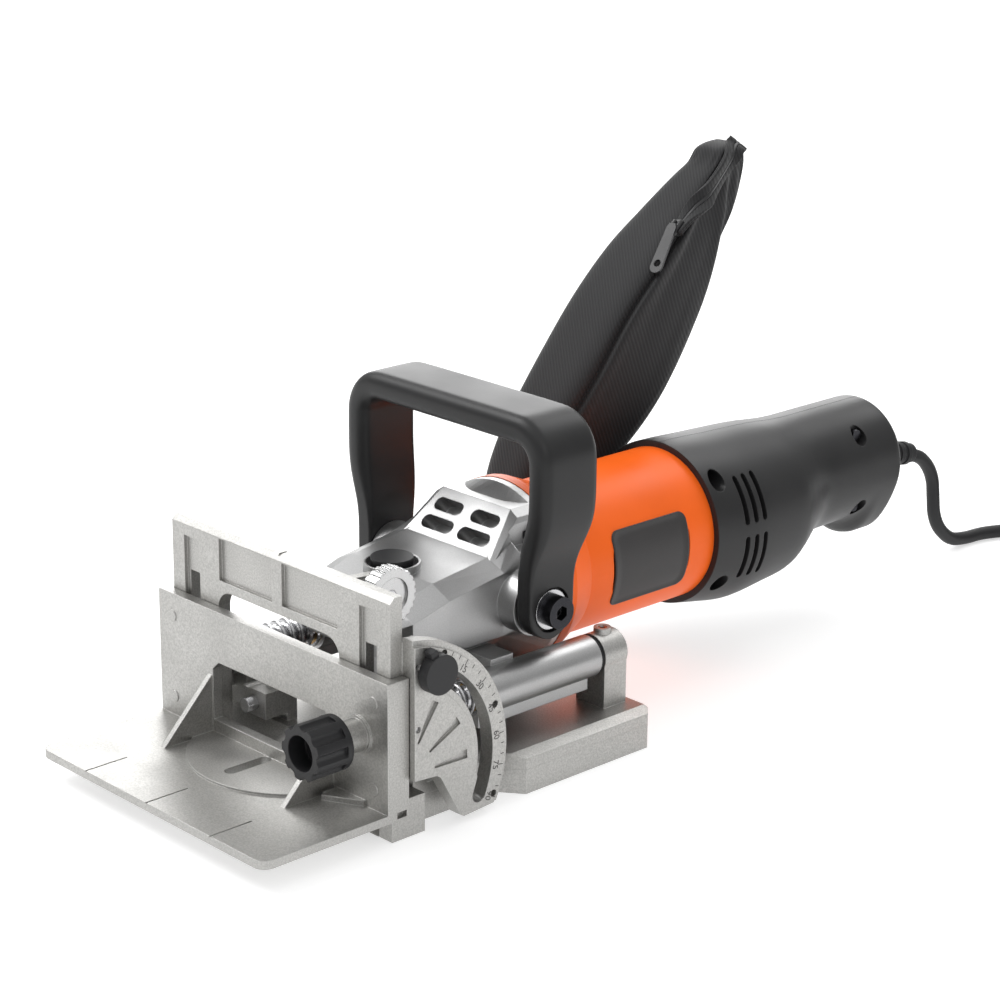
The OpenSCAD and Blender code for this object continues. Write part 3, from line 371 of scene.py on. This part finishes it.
SLOT_LOOKS = {"cast_aluminium": cast, "machined_aluminium": machined, "bright_steel": steel,
              "blackened_steel": black_steel, "blade_steel": blade_metal, "orange_plastic": orange,
              "black_plastic": black, "grey_plastic": grey, "rubber_black": rubber, "bag_cloth": cloth,
              "bronze": bronze, "copper": copper, "laminations": iron}
OWN_LOOKS = {"gear_case": satin, "bail_handle": handle_black, "handle_shell_left": handle_black,
             "handle_shell_right": handle_black}


def dress_nodes():
    for part in frame["record"]["subparts"]:
        look = OWN_LOOKS.get(part["node"], SLOT_LOOKS[part["material_slot"]])
        for slot in nodes[part["node"]].material_slots:
            slot.material = look


dress_nodes()


# ---------------------------------------------------------------- mains cord

CORD_R = 3.25 * MM
CORD_ROUTE = [(0, 318, 57), (0, 326.5, 54), (0, 333.4, 48.1), (0, 337.9, 40.3), (0, 339.5, 31.4),
              (0, 341.2, 21.8), (0, 346.1, 13.4), (0, 355.7, 6), (0, 367.5, 3.5), (1.5, 379, 3.5),
              (6, 390, 3.5), (13, 400, 3.5), (20, 410, 3.5), (24.5, 420, 3.5)]
COIL_AT = Vector((62, 430, 0)) * MM
COIL_R = 36 * MM
COIL_PITCH = 6.204 * MM                   # less than the cord's diameter, since the turns press together
COIL_LOW = 3.5 * MM
COIL_STEPS = 24                           # points made for each turn


def coil_points():
    """Eight turns in three layers, two in the lowest and three in each above, each turn sliding over to the
    next place beside or above it.
    """
    places = [(0, 0), (1, 0), (1, 1), (0, 1), (-1, 1), (-1, 2), (0, 2), (1, 2)]
    points = []
    for turn, (side, layer) in enumerate(places):
        following = places[min(turn + 1, len(places) - 1)]
        for k in range(COIL_STEPS):
            ease = eased((k / COIL_STEPS - 0.75) / 0.25)
            radius = COIL_R + COIL_PITCH * (side + (following[0] - side) * ease)
            height = COIL_LOW + COIL_PITCH * (layer + (following[1] - layer) * ease)
            angle = math.pi - 2 * math.pi * (turn + (k + 1.5) / COIL_STEPS)
            points.append(COIL_AT + Vector((radius * math.cos(angle), radius * math.sin(angle), height)))
    return points


def add_cord():
    route = [Vector(p) * MM for p in CORD_ROUTE] + coil_points()
    path = smooth_curve(route, 4)
    curve = bpy.data.curves.new("mains_cord", "CURVE")
    curve.dimensions = "3D"
    curve.bevel_depth = CORD_R
    curve.bevel_resolution = 5
    curve.use_fill_caps = True
    spline = curve.splines.new("POLY")
    spline.points.add(len(path) - 1)
    for point, place_at in zip(spline.points, path):
        point.co = (*place_at, 1)
    spline.use_smooth = True
    cord = place(bpy.data.objects.new("mains_cord", curve), "motor_unit", rubber)
    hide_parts("cord", "cord_coil")


add_cord()


# ---------------------------------------------------------------- front bail handle

BAIL_THICK = 12 * MM                      # thickness and width over the gear case
BAIL_STRAP = 31 * MM
BAIL_CORNER = 13 * MM
BAIL_FOOT_X = 48 * MM
BAIL_FOOT_R = 12.2 * MM
BAIL_RECESS = (9.3, 49.5)                 # radius, and where its floor is along X, in millimetres


def bail_line(top, half, bolt_z):
    """Middle of the strap from one foot over the top to the other, seen along Y."""
    leg = [Vector((BAIL_FOOT_X, 0, bolt_z - BAIL_FOOT_R * math.cos(math.radians(90 * i / 8))))
           for i in range(9)]
    leg += [Vector((BAIL_FOOT_X + out * MM, 0, z * MM))
            for out, z in ((0, 72), (0, 79), (0.7, 86), (2.8, 93))]
    leg += [Vector((half + out * MM, 0, z * MM)) for out, z in ((-1, 100), (0, 107), (0, 116))]
    for i in range(9):
        angle = math.radians(90 * i / 8)
        leg.append(Vector((half - BAIL_CORNER + BAIL_CORNER * math.cos(angle), 0,
                           top - BAIL_CORNER + BAIL_CORNER * math.sin(angle))))
    leg.append(Vector((half * 0.35, 0, top)))
    return leg + [Vector((-p.x, 0, p.z)) for p in reversed(leg)]


def add_bail():
    """A strap with soft edges, bent over the gear case, with round lower ends at the bolts."""
    _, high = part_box("bail_handle")
    middle = high[1] - BAIL_STRAP / 2
    bolt_low, bolt_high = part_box("bail_bolts")
    bolt = Vector((0, (bolt_low[1] + bolt_high[1]) / 2, (bolt_low[2] + bolt_high[2]) / 2))
    line = bail_line(high[2] - BAIL_THICK / 2, high[0] - BAIL_THICK / 2, bolt.z)
    rings = []
    for i, point in enumerate(line):
        across = Y.cross(tangent_at(line, i)).normalized()
        drop = bolt.z - point.z
        wide = math.sqrt(max(BAIL_FOOT_R ** 2 - drop ** 2, 0)) if drop > 0 else BAIL_FOOT_R
        rise = eased((point.z - bolt.z - 10 * MM) / (30 * MM))
        wide = max(wide + rise * 3.3 * MM, 1.2 * MM)
        thick = (4 + 2 * rise) * MM
        soft = (1.3 + 3.9 * rise) * MM
        centre = Vector((point.x, bolt.y + rise * (middle - bolt.y), point.z))
        rings.append(rounded_ring(centre, across, Y, thick, wide, soft))
    bm = bmesh.new()
    loft(bm, rings)
    cutter = bmesh.new()
    recess_r, recess_x = BAIL_RECESS
    for side in (-1, 1):
        x_drum(cutter, bolt.y / MM, bolt.z / MM, recess_r, side * recess_x, side * 70, 64)
    bail = carved("bail_strap", bm, cutter, "bail_handle", handle_black, 2)
    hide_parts("bail_handle")


add_bail()


# ---------------------------------------------------------------- rear handle

# Round sections of the handle, in millimetres: position along Y, radius and height of the centre.
HANDLE_LINE = [(143, 36.4, 62.2), (156, 37.4, 60.8), (170, 38, 59.4), (190, 36.8, 59.8), (202, 35.8, 60.1),
               (208, 34.2, 61.1), (214, 31.9, 62.8), (220, 29.6, 64.7), (227, 28.1, 66), (238, 27.8, 66.3),
               (250, 27.7, 66.4), (258, 27.7, 66.4), (266, 27.6, 66.5), (275.2, 27.6, 66.5)]
# Screws: position along Y and height.
HANDLE_SCREWS = [(150, 86), (151, 40), (253, 84), (254, 50)]
SCREW_RECESS_R = 4.1
TRIGGER_POCKET = (12.6 * MM, 33.6 * MM, 30 * MM)
TAIL_ROUNDING = 3.4
SEAM_GAP = 0.1
LOBE_START = 256                          # the lobe under the tail swells from here to full depth
LOBE_RAMP = 9
LOBE_DROP = 8.4
VENT_SIZE = (30 * MM, 2.8 * MM, 20 * MM)
VENT_ROUNDING = 1.39 * MM
VENT_FIRST_Y = 160.4
VENT_PITCH = 5.6
VENT_HEIGHTS = (51, 76)


def handle_rings(side):
    """Half rings of one shell, with a rounded tail and a lobe under it."""
    line = smooth_curve([Vector(p) for p in HANDLE_LINE], 4)
    end = line[-1]
    for i in range(1, 7):
        angle = math.radians(15 * i)
        line.append(Vector((end.x + TAIL_ROUNDING * math.sin(angle),
                            end.y - TAIL_ROUNDING + TAIL_ROUNDING * math.cos(angle), end.z)))
    rings = []
    for y, radius, centre in line:
        ring = []
        for k in range(49):
            angle = math.radians(-90 + 180 * k / 48)
            swell = clamped((y - LOBE_START) / LOBE_RAMP) * max(-math.sin(angle), 0) ** 2
            ring.append(Vector((side * (SEAM_GAP + radius * math.cos(angle)), y,
                                centre + radius * math.sin(angle) - LOBE_DROP * eased(swell))) * MM)
        rings.append(ring)
    return rings


def handle_cutter(side):
    """Cooling slots, screw recesses and the trigger's pocket."""
    cutter = bmesh.new()
    for k in range(3):
        for height in VENT_HEIGHTS:
            at = Vector((side * 40, VENT_FIRST_Y + VENT_PITCH * k, height)) * MM
            rounded_box(cutter, VENT_SIZE, at, VENT_ROUNDING)
    for y, z in HANDLE_SCREWS:
        x_drum(cutter, y, z, SCREW_RECESS_R, side * 17, side * 60)
    rounded_box(cutter, TRIGGER_POCKET, Vector((0, 225.2, 36)) * MM, 0.5 * MM)
    return cutter


def add_handle():
    for side, name in ((-1, "left"), (1, "right")):
        bm = bmesh.new()
        loft(bm, handle_rings(side))
        half = carved("handle_half_" + name, bm, handle_cutter(side), "motor_unit",
                      handle_black)
        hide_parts("handle_shell_" + name)


add_handle()


# ---------------------------------------------------------------- dust bag

# Sections of the filled bag from its collar to its tip: centre (x, y, z), half depth, half width.
BAG_SECTIONS = [((-53.4, 105, 54.5), 17.5, 17.5), ((-53.8, 111, 63), 18.5, 17.5), ((-54, 121, 78), 22, 17.5),
                ((-50, 136, 98), 25, 20), ((-47, 153, 120), 26, 22), ((-46, 168, 140), 25, 22),
                ((-46, 185, 161), 21.5, 20.5), ((-45.5, 201, 180), 16.5, 16.5), ((-45, 215, 195), 13, 13),
                ((-44.5, 226, 206), 8.5, 10), ((-44, 231.5, 211.5), 3, 7)]
FOLD = 0.115                              # where the seam is around the bag, as a share of a turn
BAG_SIDES = 96
BAG_STEPS = 4                             # rings made for each section


def bag_point(section, turn):
    """A point of the bag's surface. section counts along BAG_SECTIONS, turn runs from 0 to 1 around."""
    last = len(BAG_SECTIONS) - 1
    i = min(int(section), last - 1)
    near = [BAG_SECTIONS[min(max(k, 0), last)] for k in (i - 1, i, i + 1, i + 2)]
    centre = catmull_rom(*[Vector(place_at) for place_at, _, _ in near], section - i)
    depth = catmull_rom(*[d for _, d, _ in near], section - i)
    width = catmull_rom(*[w for _, _, w in near], section - i)
    tangent = (Vector(near[2][0]) - Vector(near[1][0])).normalized()
    forward = X.cross(tangent).normalized()
    square = 0.95 - 0.5 * min(section / 2.5, 1)
    c = math.cos(2 * math.pi * turn)
    s = math.sin(2 * math.pi * turn)
    out = (X * width * math.copysign(abs(c) ** square, c)
           + forward * depth * math.copysign(abs(s) ** square, s))
    # a seam folds in at the front corner on the right, with a soft ridge beside it
    seam = FOLD + 0.012 * math.sin(section * 1.7)
    off = (turn - seam + 0.5) % 1 - 0.5
    amount = clamped((section - 1) / 2) * (1 - clamped((section - 8.2) / 1.2))
    fold = -3.4 * math.exp(-(off / 0.016) ** 2) + 1.8 * math.exp(-((off + 0.045) / 0.028) ** 2)
    return (centre + out * (1 + amount * fold / max(out.length, 1))) * MM


def bag_rings():
    count = BAG_STEPS * (len(BAG_SECTIONS) - 1)
    return [[bag_point(step / BAG_STEPS, k / BAG_SIDES) for k in range(BAG_SIDES)]
            for step in range(count + 1)]


HELD_BELOW = 60 * MM
HELD_ABOVE = 209 * MM
CLOTH_FRAMES = 22
CLOTH_CAP = 3.5 * MM


def simulate_cloth(bag):
    """Puffs the bag for a few frames, then limits how far each point went."""
    start = [v.co.copy() for v in bag.data.vertices]
    group = bag.vertex_groups.new(name="held")
    held = [i for i, co in enumerate(start) if co.z < HELD_BELOW or co.z > HELD_ABOVE]
    group.add(held, 1, "REPLACE")
    cloth_mod = bag.modifiers.new("cloth", "CLOTH")
    settings = cloth_mod.settings
    settings.vertex_group_mass = "held"
    settings.use_pressure = True
    settings.uniform_pressure_force = 3
    settings.shrink_min = -0.06
    settings.tension_stiffness = 8
    settings.compression_stiffness = 4
    settings.bending_stiffness = 0.05
    settings.effector_weights.gravity = 0.3
    scene = bpy.context.scene
    scene.frame_start = 1
    scene.frame_end = CLOTH_FRAMES
    for number in range(1, CLOTH_FRAMES + 1):
        scene.frame_set(number)
    posed = bag.evaluated_get(bpy.context.evaluated_depsgraph_get()).data
    moved = [v.co.copy() for v in posed.vertices]
    bag.modifiers.remove(cloth_mod)
    scene.frame_set(1)
    for vertex, before, after in zip(bag.data.vertices, start, moved):
        step = after - before
        vertex.co = before + step * min(1, CLOTH_CAP / max(step.length, 1e-9))


def add_bag():
    bm = bmesh.new()
    loft(bm, bag_rings(), close_start=False)
    bag = new_object("dust_bag_cloth", bm, "base", cloth)
    simulate_cloth(bag)
    thick = bag.modifiers.new("thickness", "SOLIDIFY")
    thick.thickness = 0.8 * MM
    thick.offset = -1
    soften = bag.modifiers.new("subdivide", "SUBSURF")
    soften.levels = 1
    soften.render_levels = 1
    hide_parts("dust_bag")
    add_zipper()


ZIP_POINTS = 41
ZIP_FROM = 6.45                           # section of the bag where the slider is
ZIP_LONG = 3.1
LIP_SHIFT = 2.86 * MM                     # from the zipper's middle to the folded edge of its tape
PULL_R = 3.1                              # half width and length of the pull tab, in millimetres
PULL_LONG = 20
PULL_HOLE_R = 1.7


def zip_path():
    """Points on the bag where the zipper runs, and the surface's outward normals there."""
    path = []
    normals = []
    for k in range(ZIP_POINTS):
        share = k / (ZIP_POINTS - 1)
        section = ZIP_FROM + ZIP_LONG * share
        turn = 0.088 - 0.03 * math.sin(math.pi * share)
        here = bag_point(section, turn)
        ahead = bag_point(section + 0.02, turn) - here
        around = bag_point(section, turn + 0.01) - here
        normal = around.cross(ahead).normalized()
        centre = Vector(BAG_SECTIONS[int(section)][0]) * MM
        if normal.dot(here - centre) < 0:
            normal.negate()
        path.append(here)
        normals.append(normal)
    return path, normals


def band(name, path, normals, half_width, lift, material):
    """A flat ribbon with rounded edges that lies on the bag along path."""
    rings = []
    for i, point in enumerate(path):
        side = tangent_at(path, i).cross(normals[i]).normalized()
        centre = point + normals[i] * lift
        rings.append(rounded_ring(centre, side, normals[i], half_width, 0.7 * MM, 0.5 * MM, 3))
    bm = bmesh.new()
    loft(bm, rings)
    return new_object(name, bm, "base", material)


def add_slider(start, path, normals):
    """The slider's body with a bridge on top."""
    bm = bmesh.new()
    tangent = tangent_at(path, 1)
    side = tangent.cross(normals[0]).normalized()
    turn = Matrix((side, tangent, side.cross(tangent))).transposed().to_4x4()
    rounded_box(bm, (6.4 * MM, 8.5 * MM, 2.8 * MM), start, 1.2 * MM, turn)
    rounded_box(bm, (2.2 * MM, 6 * MM, 1.8 * MM), start + normals[1] * 2 * MM, 0.7 * MM, turn)
    return new_object("zip_slider", bm, "base", zip_black)


def add_pull_tab(start, normal):
    """A thin tab that hangs from the slider, round at its lower end, with a hole."""
    face = (normal + Vector((0.5, -0.3, 0))).normalized()
    hang = (Vector((0, 0, -1)) + face * face.z).normalized()
    side = hang.cross(face).normalized()
    lifted = start + face * 2.6 * MM
    end = [math.pi * (1 + k / 12) for k in range(13)]
    outline = [(PULL_R * math.cos(a), PULL_LONG - PULL_R * math.sin(a)) for a in end]
    outline += [(2.4, 1), (1.6, -1), (-1.6, -1), (-2.4, 1)]
    ring = [lifted + side * u * MM + hang * v * MM for u, v in outline]
    bm = bmesh.new()
    loft(bm, [[p + face * lift * MM for p in ring] for lift in (-0.5, 0.5)])
    at = lifted + hang * 18.5 * MM
    edge = [at + (side * math.cos(a) + hang * math.sin(a)) * PULL_HOLE_R * MM for a in full_turn(20)]
    hole = bmesh.new()
    loft(hole, [[p + face * lift * MM for p in edge] for lift in (-3, 3)])
    return carved("zip_pull", bm, hole, "base", zip_black)


def add_zipper():
    """A coil zipper from the slider near the top of the fold to the tip, with its tapes and pull tab."""
    path, normals = zip_path()
    made = [band("zip_tape", path, normals, 4.6 * MM, 0.8 * MM, cloth)]
    for side, name in ((-1, "zip_lip_left"), (1, "zip_lip_right")):
        moved = [point + tangent_at(path, i).cross(normals[i]).normalized() * side * LIP_SHIFT
                 for i, point in enumerate(path)]
        made.append(band(name, moved, normals, 2.0 * MM, 1.7 * MM, cloth))
    made.append(band("zip_coil", path, normals, 0.9 * MM, 1.7 * MM, zip_black))
    start = path[1] + normals[1] * 3 * MM
    made.append(add_slider(start, path, normals))
    made.append(add_pull_tab(start, normals[1]))
    return made


add_bag()


# ---------------------------------------------------------------- return springs

SPRING_WIRE_R = 0.8 * MM
SPRING_COIL_R = 6.9 * MM
SPRING_AXIS_Z = 38 * MM
SPRING_TURNS = 7
SPRING_STEPS = 24                         # rings made for each turn


def spring_rings(start, length):
    """Rings of a round wire that winds along Y."""
    count = SPRING_TURNS * SPRING_STEPS
    rings = []
    for k in range(count + 1):
        angle = 2 * math.pi * k / SPRING_STEPS
        out = Vector((math.cos(angle), 0, math.sin(angle)))
        centre = start + Y * (length * k / count) + out * SPRING_COIL_R
        rings.append([centre + (out * math.cos(a) + Y * math.sin(a)) * SPRING_WIRE_R for a in full_turn(10)])
    return rings


def add_springs():
    """Wire springs on the guide rods."""
    low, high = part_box("return_springs")
    axis_x = high[0] - SPRING_COIL_R - SPRING_WIRE_R
    length = high[1] - low[1] - 2 * SPRING_WIRE_R
    for side, name in ((-1, "spring_left"), (1, "spring_right")):
        bm = bmesh.new()
        loft(bm, spring_rings(Vector((side * axis_x, low[1] + SPRING_WIRE_R, SPRING_AXIS_Z)), length))
        spring = new_object(name, bm, "base", steel)
        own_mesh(spring)
        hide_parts("return_springs")


add_springs()


# ---------------------------------------------------------------- blank label plate

LABEL_LONG = 44.4 * MM
LABEL_WIDE = 34 * MM
LABEL_CORNER = 4 * MM
LABEL_STEP = 1.5 * MM                     # greatest distance between points of the outline
# Share of the outline's size and radius from the motor's axis, from the hidden edge to the middle.
LABEL_PROFILE = [(1.0, 33.2), (1.0, 33.9), (0.985, 34.1), (0.955, 34.1)]
LABEL_PROFILE += [(share, 33.85) for share in (0.945, 0.8, 0.6, 0.4, 0.2, 0.03)]


def label_outline():
    corners = rounded_ring(Vector((0, 0, 0)), X, Y, LABEL_LONG / 2, LABEL_WIDE / 2, LABEL_CORNER)
    outline = []
    for point, after in zip(corners, corners[1:] + corners[:1]):
        pieces = max(1, round((after - point).length / LABEL_STEP))
        outline += [point.lerp(after, k / pieces) for k in range(pieces)]
    return outline


def add_label():
    """A plain plate with rounded corners and a raised rim, curved to the motor housing."""
    low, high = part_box("label_plate")
    middle_y = (low[1] + high[1]) / 2
    rings = []
    for share, radius in LABEL_PROFILE:
        ring = []
        for point in label_outline():
            angle = point.y * share / HOUSING_R
            ring.append(Vector((radius * MM * math.cos(angle), middle_y + point.x * share,
                                MOTOR_AXIS_Z + radius * MM * math.sin(angle))))
        rings.append(ring)
    bm = bmesh.new()
    loft(bm, rings)
    label = new_object("label_blank", bm, "motor_unit", grey)
    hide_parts("label_plate")


add_label()


# ---------------------------------------------------------------- dial marks

DIAL_ZERO = 66                            # degrees from +Y up to the mark for 0
DIAL_R = 51 * MM                          # outer ends of the marks
NUMBER_R = 47.1 * MM
NUMBER_SIZE = 3.9 * MM


def dial_direction(degrees):
    """The angle of a mark about X, and the direction from the dial's centre to it."""
    angle = math.radians(DIAL_ZERO - degrees)
    return angle, Vector((0, math.cos(angle), math.sin(angle)))


def add_ticks(centre):
    bm = bmesh.new()
    for degrees in range(0, 91, 5):
        angle, out = dial_direction(degrees)
        long = 2.6 * MM if degrees % 15 == 0 else 1.7 * MM
        at = centre + out * (DIAL_R - long / 2)
        rounded_box(bm, (0.12 * MM, long, 0.3 * MM), at, 0.04 * MM, Matrix.Rotation(angle, 4, "X"))
    new_object("dial_ticks", bm, "tilt_fence", engraved)


def add_number(centre, degrees):
    name = f"dial_number_{degrees}"
    text = bpy.data.curves.new(name, "FONT")
    text.body = str(degrees)
    text.size = NUMBER_SIZE
    text.extrude = 0.05 * MM
    text.align_x = "CENTER"
    text.align_y = "CENTER"
    number = bpy.data.objects.new(name, text)
    angle, out = dial_direction(degrees)
    upright = Matrix(((0, 0, 1, 0), (1, 0, 0, 0), (0, 1, 0, 0), (0, 0, 0, 1)))
    turned = Matrix.Rotation(angle - math.pi / 2, 4, "X") @ upright
    number.matrix_world = Matrix.Translation(centre + out * NUMBER_R) @ turned
    place(number, "tilt_fence", engraved)


def add_dial_marks():
    """Engraved ticks and numerals on the quadrant's face, 0 to 90 clockwise."""
    _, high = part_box("angle_quadrant")
    pin_low, pin_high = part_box("hinge_pins")
    centre = Vector((high[0], (pin_low[1] + pin_high[1]) / 2, (pin_low[2] + pin_high[2]) / 2))
    add_ticks(centre)
    for degrees in range(0, 91, 15):
        add_number(centre, degrees)


add_dial_marks()


# ---------------------------------------------------------------- floor and light

FLOOR_SIZE = 40
FLOOR_GLOW = 0.56
SKY_LOW = 0.24                            # strength of the sky near the floor and overhead
SKY_HIGH = 1.0
LIGHT_AIM = Vector((0, 0.05, 0.06))
# Name, place, size and power of each lamp.
LIGHTS = [("key", (-0.9, -0.5, 1.3), 0.9, 13), ("side", (1.2, -0.5, 0.9), 0.5, 1.5),
          ("back", (-0.1, 1.3, 1.3), 0.8, 5), ("far", (-1.7, 1.6, 0.9), 1.6, 24)]


def add_floor():
    bm = bmesh.new()
    bmesh.ops.create_grid(bm, x_segments=1, y_segments=1, size=FLOOR_SIZE)
    mesh = bpy.data.meshes.new("floor")
    bm.to_mesh(mesh)
    bm.free()
    floor = bpy.data.objects.new("floor", mesh)
    bpy.context.collection.objects.link(floor)
    s = Shader("floor_paint")
    s.link(s.mix(s.noise(3), (0.60, 0.60, 0.60), (0.63, 0.63, 0.63)), s.main.inputs["Base Color"])
    s.main.inputs["Roughness"].default_value = 0.9
    s.main.inputs["Specular IOR Level"].default_value = 0
    s.main.inputs["Emission Color"].default_value = (1, 1, 1, 1)
    s.main.inputs["Emission Strength"].default_value = FLOOR_GLOW
    mesh.materials.append(s.material)


def add_sky():
    """A white world that is brighter overhead than near the floor."""
    world = bpy.data.worlds.new("studio")
    world.use_nodes = True
    tree = world.node_tree
    background = tree.nodes["Background"]
    direction = tree.nodes.new("ShaderNodeTexCoord")
    split = tree.nodes.new("ShaderNodeSeparateXYZ")
    ramp = tree.nodes.new("ShaderNodeMapRange")
    ramp.inputs["From Min"].default_value = 0.05
    ramp.inputs["From Max"].default_value = 0.85
    ramp.inputs["To Min"].default_value = SKY_LOW
    ramp.inputs["To Max"].default_value = SKY_HIGH
    tree.links.new(direction.outputs["Generated"], split.inputs[0])
    tree.links.new(split.outputs["Z"], ramp.inputs["Value"])
    tree.links.new(ramp.outputs["Result"], background.inputs["Strength"])
    background.inputs["Color"].default_value = (1, 1, 1, 1)
    bpy.context.scene.world = world


def add_light(name, at, size, power):
    data = bpy.data.lights.new(name, "AREA")
    data.shape = "DISK"
    data.size = size
    data.energy = power
    lamp = bpy.data.objects.new(name, data)
    aim = LIGHT_AIM - Vector(at)
    lamp.matrix_world = Matrix.Translation(Vector(at)) @ aim.to_track_quat("-Z", "Y").to_matrix().to_4x4()
    bpy.context.collection.objects.link(lamp)


add_floor()
add_sky()
for light in LIGHTS:
    add_light(*light)
bpy.context.scene.view_settings.view_transform = "Standard"
